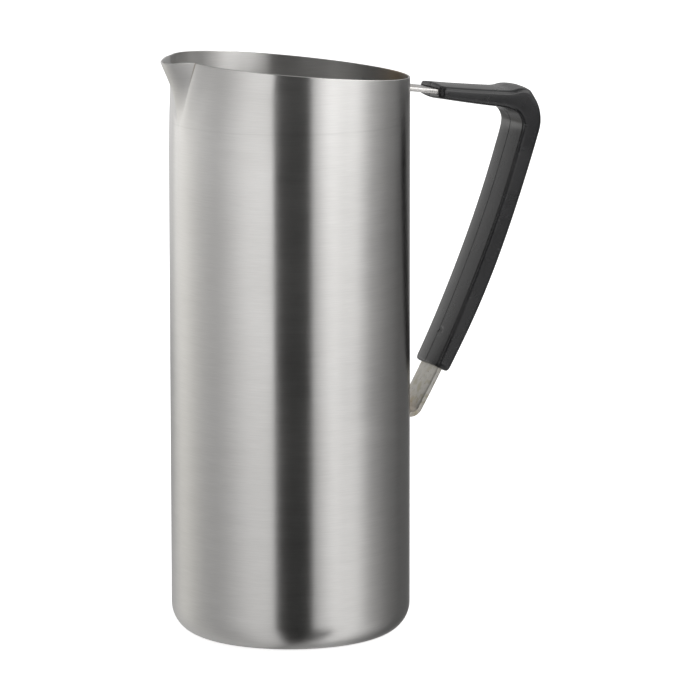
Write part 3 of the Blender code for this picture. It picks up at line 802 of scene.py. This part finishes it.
def handle_path(v, h):
    """Start, heading, length and radius of the arm, its bend, the leg, the foot bend and the stub."""
    wall = v.body_radius
    drop = h.arm_drop
    corner = (h.handle_reach, h.upper_joint - (h.handle_reach - wall) * math.tan(drop))
    foot = (wall + h.foot_out, h.lower_joint)
    lean = math.atan2(corner[0] - foot[0], corner[1] - foot[1])
    bow = 0.5 * h.leg_bow
    turns = (-drop, -0.5 * math.pi - lean + bow, -0.5 * math.pi - lean - bow, -math.pi)
    cut = h.bend_radius * math.tan(0.5 * (turns[0] - turns[1]))
    arm = (h.handle_reach - wall) / math.cos(drop) - cut
    arm_end = (wall + arm * math.cos(drop), h.upper_joint - arm * math.sin(drop))
    leg_start = advance(arm_end, h.bend_radius, turns[0], turns[1])
    unit = advance((0.0, 0.0), 1.0, turns[1], turns[2])
    foot_turn = advance((0.0, 0.0), h.foot_radius, turns[2], turns[3])
    leg_radius = (h.lower_joint - foot_turn[1] - leg_start[1]) / unit[1]
    leg_end = advance(leg_start, leg_radius, turns[1], turns[2])
    stub = advance(leg_end, h.foot_radius, turns[2], turns[3])
    return (
        ((wall, h.upper_joint), turns[0], arm, None),
        (arm_end, turns[0], h.bend_radius * (turns[0] - turns[1]), h.bend_radius),
        (leg_start, turns[1], leg_radius * (turns[1] - turns[2]), leg_radius),
        (leg_end, turns[2], h.foot_radius * (turns[2] - turns[3]), h.foot_radius),
        (stub, turns[3], stub[0] - wall, None),
    )


def path_length(path):
    """Length of the bar's middle line from wall to wall."""
    return sum(reach for _, _, reach, _ in path)


def path_at(path, distance):
    """Point and heading of the bar's middle line at a distance from the upper wall joint."""
    left = distance
    for point, heading, reach, radius in path:
        if left <= reach or point is path[-1][0]:
            break
        left -= reach
    if radius is None:
        return (point[0] + left * math.cos(heading), point[1] + left * math.sin(heading)), heading
    turned = heading - left / radius
    return advance(point, radius, heading, turned), turned


def place_on(path, distance, out, across):
    """A point beside the bar's middle line: outwards from it and across it."""
    point, heading = path_at(path, distance)
    return Vector((point[0] - out * math.sin(heading), across, point[1] + out * math.cos(heading)))


def to_wall(v, point, heading, stand_off):
    """Slides a point along the bar until it stands off the vessel's round wall by the given gap."""
    x = math.sqrt((v.body_radius + stand_off) ** 2 - point.y**2)
    return Vector((x, point.y, point.z + (x - point.x) * math.tan(heading)))


def strap_outline(h, grow, turns=4, flats=8):
    """The flat bar's section with eased edges, grown by a clearance: pairs of out and across."""
    half_out = 0.5 * h.strap_thickness + grow
    half_across = 0.5 * h.strap_width + grow
    ease = h.strap_edge + grow
    points = []
    for side_out, side_across, first in ((1, 1, 0), (1, -1, 1), (-1, -1, 2), (-1, 1, 3)):
        for step in range(turns + 1):
            turn = 0.5 * math.pi * (first + step / turns)
            out = side_out * (half_out - ease) + ease * math.sin(turn)
            points.append((out, side_across * (half_across - ease) + ease * math.cos(turn)))
        if side_out == side_across:
            reach = side_across * (half_across - ease)
            steps = range(1, flats)
            points += [(side_out * half_out, reach * (1.0 - 2.0 * i / flats)) for i in steps]
    return points


def strap_mesh(v, h):
    """The bent bar, with both ends cut to the vessel's wall."""
    path = handle_path(v, h)
    outline = strap_outline(h, 0.0)
    rings = []
    start = 0.0
    for (_, _, reach, _), count in zip(path, STRAP_ROWS):
        for i in range(1 if rings else 0, count + 1):
            along = start + reach * i / count
            rings.append([place_on(path, along, *point) for point in outline])
        start += reach
    rings[0] = [to_wall(v, point, path[0][1], h.fit_gap) for point in rings[0]]
    rings[-1] = [to_wall(v, point, 0.0, h.fit_gap) for point in rings[-1]]
    mesh = bmesh.new()
    made = place_rings(mesh, rings)
    for ring in (made[0], made[-1]):
        last = len(ring) - 1
        for i in range(len(ring) // 2 - 1):
            mesh.faces.new((ring[i], ring[i + 1], ring[last - i - 1], ring[last - i]))
    return mesh


class PITCHER_OT_strap(bpy.types.Operator):
    """Build the bent flat bar of the handle"""

    bl_idname = "pitcher.strap"
    bl_label = "Build Strap"

    def execute(self, context):
        v, h = context.scene.pitcher_vessel, context.scene.pitcher_handle
        piece(strap_mesh(v, h), "strap_bar", satin_strap(v, h), ["handle_strap"])
        return {"FINISHED"}


def weld_mesh(v, h, distance, heading):
    """A fillet bead round the bar's end, with the small ripples that welding leaves."""
    path = handle_path(v, h)
    edge_steps, flat_steps, bead_steps = 6, 24, 6
    ripples_across, ripples_up = 2400.0, 900.0
    inner, outer = (
        [place_on(path, distance, *point) for point in strap_outline(h, grow, edge_steps, flat_steps)]
        for grow in (h.fit_gap, h.fit_gap + h.weld_leg)
    )
    rings = []
    for step in range(bead_steps + 1):
        turn = 0.5 * math.pi * step / bead_steps
        out, up = 1.0 - math.sin(turn), 1.0 - math.cos(turn)
        ring = []
        for near, far in zip(inner, outer):
            ripple = 1.0 - 0.16 * abs(math.sin(ripples_across * near.y + ripples_up * near.z))
            ripple -= 0.1 * noise.noise(near * ripples_up)
            stand_off = h.fit_gap + h.weld_leg * up * ripple
            ring.append(to_wall(v, near.lerp(far, out * ripple), heading, stand_off))
        rings.append(ring)
    rings.append([to_wall(v, near, heading, h.fit_gap) for near in inner])
    mesh = bmesh.new()
    made = [[mesh.verts.new(point) for point in ring] for ring in rings]
    bridge(mesh, made + made[:1])
    return mesh


class PITCHER_OT_welds(bpy.types.Operator):
    """Build the weld beads at both ends of the bar"""

    bl_idname = "pitcher.welds"
    bl_label = "Build Welds"

    def execute(self, context):
        v, h = context.scene.pitcher_vessel, context.scene.pitcher_handle
        path = handle_path(v, h)
        look = tinted_weld(h)
        upper = weld_mesh(v, h, 0.0, path[0][1])
        lower = weld_mesh(v, h, path_length(path), 0.0)
        piece(upper, "weld_bead_upper", look, ["upper_weld"])
        piece(lower, "weld_bead_lower", look, ["lower_weld"])
        return {"FINISHED"}


# Grip


def half_section(h, g, place, side, pull_side, pull_face):
    """Half of the grip's section, open towards the bar: pairs of out and across."""
    face_steps, corner_steps = 8, 9
    outer = g.outer * smooth_between(OUTER_SHARES, place) - pull_face
    inner = g.inner * smooth_between(INNER_SHARES, place) - pull_face
    half = 0.5 * g.width - pull_side
    seam = 0.5 * h.fit_gap
    channel_out = 0.5 * h.strap_thickness + h.fit_gap
    channel_across = 0.5 * h.strap_width + h.fit_gap
    beside = half - channel_across - g.crown - channel_out
    most = 0.48 * (outer + inner - 2.0 * g.crown)
    corner = min(g.corner, most, beside + outer)
    flat = half - corner
    drop = g.crown * (flat / half) ** 2
    seam_edge = 0.5 * seam
    points = [(outer - 1.5 * seam_edge, seam)]
    for i in range(face_steps + 1):
        across = seam + seam_edge + (flat - seam - seam_edge) * i / face_steps
        points.append((outer - g.crown * (across / half) ** 2, across))
    for i in range(1, corner_steps + 1):
        turn = 0.5 * math.pi * i / corner_steps
        out = outer - drop - corner * (1.0 - math.cos(turn))
        points.append((out, flat + corner * math.sin(turn)))
    corner = min(g.inner_corner, most, beside + inner)
    flat = half - corner
    drop = g.crown * (flat / half) ** 2
    for i in range(corner_steps):
        turn = 0.5 * math.pi * i / corner_steps
        out = drop - inner + corner * (1.0 - math.sin(turn))
        points.append((out, flat + corner * math.cos(turn)))
    for i in range(face_steps + 1):
        across = flat + (seam + seam_edge - flat) * i / face_steps
        points.append((g.crown * (across / half) ** 2 - inner, across))
    points.append((1.5 * seam_edge - inner, seam))
    points += [(-channel_out, seam), (-channel_out, channel_across)]
    points += [(channel_out, channel_across), (channel_out, seam)]
    return [(out, side * across) for out, across in points]


def end_edge(h, g, near_rim):
    """The rounding of the grip's end, held inside the thinner wall there."""
    asked, end = (g.rim_end_edge, 0) if near_rim else (g.foot_end_edge, -1)
    face = min(g.outer * OUTER_SHARES[end][1], g.inner * INNER_SHARES[end][1])
    return min(asked, 0.85 * (face - g.crown - 0.5 * h.strap_thickness - h.fit_gap))


def half_mesh(v, h, g, side):
    """One half of the grip, closed round its own half of the bar."""
    path = handle_path(v, h)
    grip_length = path_length(path) - g.from_rim - g.from_foot
    arm_steps, bend_steps, leg_steps, end_steps = 12, 40, 34, 9
    start, end = GRIP_BEND
    inside = [start * i / arm_steps for i in range(1, arm_steps)]
    inside += [start + (end - start) * i / bend_steps for i in range(bend_steps + 1)]
    inside += [end + (1.0 - end) * i / leg_steps for i in range(1, leg_steps)]
    ends = [0.5 * math.pi * i / end_steps for i in range(end_steps + 1)]
    stops = [(g.end_corner * (1.0 - math.cos(turn)), turn) for turn in ends]
    clear = 1.1 * g.end_corner
    middle = [(grip_length * place, 0.5 * math.pi) for place in inside]
    middle = [stop for stop in middle if clear < stop[0] < grip_length - clear]
    stops += middle + [(grip_length - near, turn) for near, turn in reversed(stops)]
    rings = []
    for distance, turn in stops:
        near_rim = distance < 0.5 * grip_length
        edge = end_edge(h, g, near_rim)
        short = max(edge - min(distance, grip_length - distance), 0.0)
        pull_face = edge - math.sqrt(edge**2 - short**2)
        pull_side = g.end_corner * (1.0 - math.sin(turn))
        section = half_section(h, g, distance / grip_length, side, pull_side, pull_face)
        rings.append([place_on(path, g.from_rim + distance, *point) for point in section])
    mesh = bmesh.new()
    made = place_rings(mesh, rings)
    mesh.faces.new(list(reversed(made[0])))
    mesh.faces.new(made[-1])
    return mesh


class PITCHER_OT_grip(bpy.types.Operator):
    """Build both halves of the moulded grip"""

    bl_idname = "pitcher.grip"
    bl_label = "Build Grip"

    def execute(self, context):
        scene = context.scene
        v, h, g = scene.pitcher_vessel, scene.pitcher_handle, scene.pitcher_grip
        if g.width <= h.strap_width:
            raise ValueError("the grip has to be wider than the bar")
        look = black_plastic(v, h, g)
        halves = (("grip_near_half", -1, "grip_half_left"), ("grip_far_half", 1, "grip_half_right"))
        for name, side, node in halves:
            piece(half_mesh(v, h, g, side), name, look, [node])
        return {"FINISHED"}


# Studio


def light_card(mesh, name, look):
    """A lit or dark card that shows in reflections only."""
    made = new_object(mesh, name, look)
    made.visible_camera = False
    made.visible_shadow = False


def curved_screen(s, name, first, last, top, look, skirt=None):
    """A screen with a skirt on a circle round the pitcher, between two angles from the camera's side."""
    mesh = bmesh.new()
    strips = (
        (first, last, ((1.0, -s.screen_drop), (1.0, top))),
        (*(skirt or (first, last)), ((0.02, -s.screen_drop), (1.0, -s.screen_drop))),
    )
    for start, end, corners in strips:
        rows = []
        for i in range(s.steps + 1):
            turn = s.camera_azimuth + math.radians(start + (end - start) * i / s.steps)
            x, y = s.screen_distance * math.cos(turn), s.screen_distance * math.sin(turn)
            rows.append([mesh.verts.new((x * inward, y * inward, z)) for inward, z in corners])
        for near, far in zip(rows, rows[1:]):
            mesh.faces.new((near[0], far[0], far[1], near[1]))
    light_card(mesh, name, look)


def bare_look(name):
    """A material with an empty node tree."""
    look = bpy.data.materials.new(name)
    look.use_nodes = True
    look.node_tree.nodes.clear()
    return look, look.node_tree


def screen_look(s, name, glows):
    """The light of a screen, made of soft glows."""
    look, tree = bare_look(name)
    place = add(tree, "TexCoord").outputs["Object"]
    height = add(tree, "SeparateXYZ", place).outputs["Z"]
    total = (0.0, 0.0, 0.0)
    for glow in glows:
        turn = s.camera_azimuth + math.radians(glow.centre)
        shown = use_group(
            tree, "soft_glow", Place=place, Towards=(math.cos(turn), math.sin(turn), 0.0),
            Reach=math.radians(glow.reach), Edge=math.radians(glow.edge),
        )
        bottom = -s.screen_drop
        level = remap(tree, height, bottom, bottom + 0.01, glow.skirt, glow.foot)
        last = glow.foot
        for middle, half, above in glow.rises:
            step = remap(tree, height, middle - half, middle + half, 0.0, 1.0, True)
            level = calc(tree, "MULTIPLY_ADD", step, above - last, level)
            last = above
        level = calc(tree, "MULTIPLY", shown["Glow"], level)
        level = add(tree, "CombineXYZ", level, level, level).outputs[0]
        total = vector(tree, "MULTIPLY_ADD", level, glow.tint, total)
    emission = add(tree, "Emission", total)
    tree.links.new(emission.outputs[0], add(tree, "OutputMaterial").inputs[0])
    return look


def floor_look(s):
    """Pale floor that keeps the pitcher's shadow, and shows as white as the backdrop."""
    look, tree = bare_look("studio_floor")
    pale = add(tree, "BsdfDiffuse", tuple(s.floor_colour))
    seen = add(tree, "LightPath").outputs["Is Camera Ray"]
    white = add(tree, "Emission", (1.0, 1.0, 1.0, 1.0), calc(tree, "MULTIPLY", seen, s.floor_white))
    both = add(tree, "AddShader", pale.outputs[0], white.outputs[0])
    tree.links.new(both.outputs[0], add(tree, "OutputMaterial").inputs[0])
    return look


def make_world(s):
    """White to the camera and in reflections, and a plain fill for the rest."""
    world = bpy.data.worlds.new("studio_world")
    bpy.context.scene.world = world
    world.use_nodes = True
    tree = world.node_tree
    tree.nodes.clear()
    path = add(tree, "LightPath").outputs
    shown = calc(tree, "MAXIMUM", path["Is Camera Ray"], path["Is Glossy Ray"])
    shown = calc(tree, "MAXIMUM", shown, path["Is Transmission Ray"])
    fill = add(tree, "Background", (1.0, 1.0, 1.0, 1.0), s.fill_level)
    white = add(tree, "Background", (1.0, 1.0, 1.0, 1.0), 1.0)
    mixed = add(tree, "MixShader", shown, fill.outputs[0], white.outputs[0])
    tree.links.new(mixed.outputs[0], add(tree, "OutputWorld").inputs[0])


def make_screens(s):
    """The screens and cards that stand round the pitcher, between angles from the camera's side."""
    left = screen_look(s, "left_screen_light", LEFT_GLOWS)
    right = screen_look(s, "right_screen_light", RIGHT_GLOWS)
    dark = screen_look(s, "dark_card", even_light(0.035, 0.022, (0.42, 0.06, 0.3)))
    grey = screen_look(s, "far_grey_card", even_light(0.14, 0.14))
    behind = screen_look(s, "backdrop_grey", even_light(0.52, 0.52))
    curved_screen(s, "left_screen", -176, -14.5, 0.8, left, (-176, -13))
    curved_screen(s, "right_screen", 20, 122, 1.0, right, (44, 122))
    curved_screen(s, "camera_gap_card", -14.5, 20, 1.0, dark, (-13, 44))
    curved_screen(s, "far_card", 122, 160, 0.4, grey)
    curved_screen(s, "backdrop_card", 160, 184, 0.6, behind)


def make_overhead(s):
    """A round grey card above the pitcher."""
    mesh = bmesh.new()
    radius = s.overhead_spread * s.screen_distance
    bmesh.ops.create_circle(mesh, cap_ends=True, segments=64, radius=radius)
    bmesh.ops.translate(mesh, verts=mesh.verts, vec=(0.0, 0.0, s.overhead_height))
    light_card(mesh, "overhead_card", screen_look(s, "overhead_grey", even_light(0.55, 0.55)))


def make_floor(s):
    """A plain floor that the reflections leave out."""
    mesh = bmesh.new()
    bmesh.ops.create_grid(mesh, x_segments=1, y_segments=1, size=s.floor_reach)
    floor = new_object(mesh, "floor", floor_look(s))
    floor.visible_glossy = False


def make_camera():
    """The camera at the photo's viewing angle."""
    lens = bpy.data.cameras.new("photo_camera")
    lens.sensor_width = 36.0
    lens.lens = CAMERA_LENS
    lens.clip_end = 50.0
    camera = bpy.data.objects.new("photo_camera", lens)
    camera.location = CAMERA_PLACE
    camera.rotation_euler = Euler([math.radians(turn) for turn in CAMERA_TURN])
    bpy.context.scene.collection.objects.link(camera)
    bpy.context.scene.camera = camera


class PITCHER_OT_studio(bpy.types.Operator):
    """Build the floor, the light screens, the world and the camera"""

    bl_idname = "pitcher.studio"
    bl_label = "Build Studio"

    def execute(self, context):
        s = context.scene.pitcher_studio
        make_screens(s)
        make_overhead(s)
        make_floor(s)
        make_world(s)
        make_camera()
        context.scene.view_settings.view_transform = "Standard"
        return {"FINISHED"}


class PITCHER_PT_sidebar(bpy.types.Panel):
    """Lists the pieces and their main sizes"""

    bl_label = "Steel Water Pitcher"
    bl_idname = "PITCHER_PT_sidebar"
    bl_space_type = "VIEW_3D"
    bl_region_type = "UI"
    bl_category = "Pitcher"

    def draw(self, context):
        scene = context.scene
        v, h = scene.pitcher_vessel, scene.pitcher_handle
        g, s = scene.pitcher_grip, scene.pitcher_studio
        shown = (
            ("pitcher.vessel", v, ("rim_height", "wall", "spout_reach", "steel_colour")),
            ("pitcher.strap", h, ("strap_width", "handle_reach", "strap_colour")),
            ("pitcher.welds", h, ("weld_leg", "weld_colour")),
            ("pitcher.grip", g, ("width", "outer", "inner", "plastic_colour")),
            ("pitcher.studio", s, ("screen_distance", "floor_colour")),
        )
        for operator, settings, names in shown:
            box = self.layout.box()
            box.operator(operator)
            for name in names:
                box.prop(settings, name)


CLASSES = (
    VesselSettings,
    HandleSettings,
    GripSettings,
    StudioSettings,
    PITCHER_OT_vessel,
    PITCHER_OT_strap,
    PITCHER_OT_welds,
    PITCHER_OT_grip,
    PITCHER_OT_studio,
    PITCHER_PT_sidebar,
)


def register():
    for cls in CLASSES:
        bpy.utils.register_class(cls)
    bpy.types.Scene.pitcher_vessel = PointerProperty(type=VesselSettings)
    bpy.types.Scene.pitcher_handle = PointerProperty(type=HandleSettings)
    bpy.types.Scene.pitcher_grip = PointerProperty(type=GripSettings)
    bpy.types.Scene.pitcher_studio = PointerProperty(type=StudioSettings)


def unregister():
    for name in ("pitcher_studio", "pitcher_grip", "pitcher_handle", "pitcher_vessel"):
        delattr(bpy.types.Scene, name)
    for cls in reversed(CLASSES):
        bpy.utils.unregister_class(cls)


def main():
    """Registers the settings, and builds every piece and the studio."""
    register()
    bpy.ops.pitcher.vessel()
    bpy.ops.pitcher.strap()
    bpy.ops.pitcher.welds()
    bpy.ops.pitcher.grip()
    bpy.ops.pitcher.studio()


if __name__ == "__main__":
    main()
